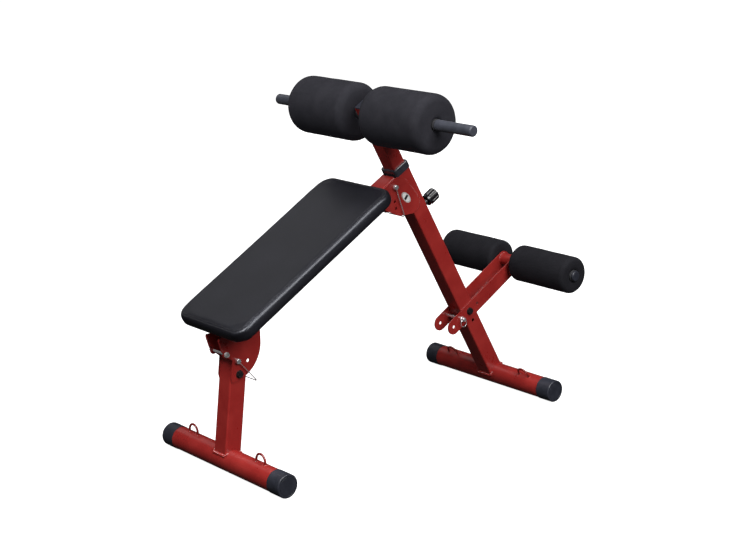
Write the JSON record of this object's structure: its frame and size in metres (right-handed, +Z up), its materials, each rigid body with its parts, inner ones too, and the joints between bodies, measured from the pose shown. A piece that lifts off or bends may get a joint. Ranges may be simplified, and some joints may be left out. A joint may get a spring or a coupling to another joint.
{
  "type": "roman chair",
  "caption": "Folding roman chair: inclined padded board on a leaning post, height-adjustable thigh rollers, tilting ankle rollers and a folding front leg on round feet.",
  "frame": {"origin": "on the floor, under the middle of the bench's overall box", "axes": "+X across the bench, +Y from the front foot to the ankle rollers, +Z up"},
  "size_m": [0.77, 1.13, 0.9268],
  "materials": {
    "red_paint": "glossy deep red powder coat",
    "black_plastic": "moulded, satin",
    "black_bolt": "black oxide, satin",
    "badge_print": "plain printed label",
    "chrome": "bright plated",
    "black_steel": "black, satin",
    "grip_rubber": "smooth dipped grip",
    "foam": "closed-cell foam, fine pores",
    "core_plastic": "extruded",
    "zinc": "zinc plated",
    "plywood": "raw plywood",
    "vinyl": "satin black vinyl, fine grain"
  },
  "bodies": {
    "main_frame": {"rear_foot_tube": "red_paint", "main_post": "red_paint", "board_ear_left": "red_paint", "board_ear_right": "red_paint", "rear_foot_cap_left": "black_plastic", "rear_foot_cap_right": "black_plastic", "post_collar": "black_plastic", "rear_band_hook_left": "red_paint", "rear_band_hook_right": "red_paint", "knob_barrel": "black_bolt", "pivot_bolts": "black_bolt", "pivot_nuts": "black_bolt", "badge": "badge_print", "knob_spring": "chrome"},
    "height_slide": {"height_tube": "red_paint", "height_tube_cap": "black_plastic", "thigh_bar": "black_steel", "bar_grip_left": "grip_rubber", "bar_grip_right": "grip_rubber"},
    "height_knob": {"height_knob": "black_plastic", "knob_plunger": "chrome"},
    "thigh_roller_left": {"thigh_roller_left": "foam", "thigh_roller_core_left": "core_plastic"},
    "ankle_roller_left": {"ankle_roller_left": "foam", "ankle_roller_core_left": "core_plastic"},
    "thigh_roller_right": {"thigh_roller_right": "foam", "thigh_roller_core_right": "core_plastic"},
    "ankle_roller_right": {"ankle_roller_right": "foam", "ankle_roller_core_right": "core_plastic"},
    "ankle_lever": {"lever_plate_left": "red_paint", "lever_plate_right": "red_paint", "lever_web": "red_paint", "lever_sleeve": "red_paint", "ankle_bar": "black_steel", "ankle_bar_plug_left": "black_plastic", "ankle_bar_plug_right": "black_plastic"},
    "stop_pin": {"lever_stop_pin": "chrome"},
    "pull_ring": {"stop_pin_ring": "chrome"},
    "board": {"board_tube": "red_paint", "sector_plate_left": "red_paint", "sector_plate_right": "red_paint", "pad_brackets": "red_paint", "board_tube_plug": "black_plastic", "pad_bolts": "zinc", "leg_pivot_bolt": "black_bolt", "leg_pivot_nut": "black_bolt", "spacer_bolt": "zinc", "spacer_nut": "black_bolt", "pad_board": "plywood", "pad": "vinyl"},
    "front_leg": {"leg_tube": "red_paint", "front_foot_tube": "red_paint", "front_band_hook_left": "red_paint", "front_band_hook_right": "red_paint", "front_foot_cap_left": "black_plastic", "front_foot_cap_right": "black_plastic"},
    "board_lock": {"board_lock_pin": "chrome", "board_lock_bail": "chrome"},
    "leg_lock": {"leg_lock_pin": "chrome", "leg_lock_bail": "chrome"}
  },
  "joints": [
    {"name": "height_slide", "type": "slide", "parent": "main_frame", "child": "height_slide", "axis": [0, -0.4787, 0.878], "range_m": [-0.07, 0.105]},
    {"name": "knob_pull", "type": "slide", "parent": "main_frame", "child": "height_knob", "axis": [0, 0.878, 0.4787], "range_m": [-0.008, 0]},
    {"name": "board_fold", "type": "hinge", "parent": "main_frame", "child": "board", "pos_m": [0, -0.00199, 0.61927], "axis": [1, 0, 0], "range_deg": [0, 70]},
    {"name": "leg_fold", "type": "hinge", "parent": "board", "child": "front_leg", "pos_m": [0, -0.49224, 0.257], "axis": [1, 0, 0], "range_deg": [0, 126]},
    {"name": "lever_swing", "type": "hinge", "parent": "main_frame", "child": "ankle_lever", "pos_m": [0, 0.31422, 0.24611], "axis": [1, 0, 0], "range_deg": [0, 30]},
    {"name": "stop_pin_pull", "type": "slide", "parent": "ankle_lever", "child": "stop_pin", "axis": [1, 0, 0], "range_m": [0, 0.09]},
    {"name": "ring_swing", "type": "hinge", "parent": "stop_pin", "child": "pull_ring", "pos_m": [0.0365, 0.28349, 0.22935], "axis": [0, 1, 0], "range_deg": [-60, 10]},
    {"name": "leg_lock_turn", "type": "hinge", "parent": "board", "child": "leg_lock", "pos_m": [0, -0.497, 0.293], "axis": [1, 0, 0], "range_deg": [0, 73.5]},
    {"name": "board_lock_turn", "type": "hinge", "parent": "main_frame", "child": "board_lock", "pos_m": [0, 0.04127, 0.64855], "axis": [1, 0, 0], "range_deg": [-28, 0]},
    {"name": "thigh_roller_left_turn", "type": "hinge", "parent": "height_slide", "child": "thigh_roller_left", "pos_m": [0, -0.0145, 0.84902], "axis": [1, 0, 0], "continuous": true},
    {"name": "thigh_roller_right_turn", "type": "hinge", "parent": "height_slide", "child": "thigh_roller_right", "pos_m": [0, -0.0145, 0.84902], "axis": [1, 0, 0], "continuous": true},
    {"name": "ankle_roller_left_turn", "type": "hinge", "parent": "ankle_lever", "child": "ankle_roller_left", "pos_m": [0, 0.50913, 0.35237], "axis": [1, 0, 0], "continuous": true},
    {"name": "ankle_roller_right_turn", "type": "hinge", "parent": "ankle_lever", "child": "ankle_roller_right", "pos_m": [0, 0.50913, 0.35237], "axis": [1, 0, 0], "continuous": true}
  ],
  "couplings": [
    {"joint": "leg_lock_turn", "follows": "leg_fold", "ratio": 0.58333}
  ]
}
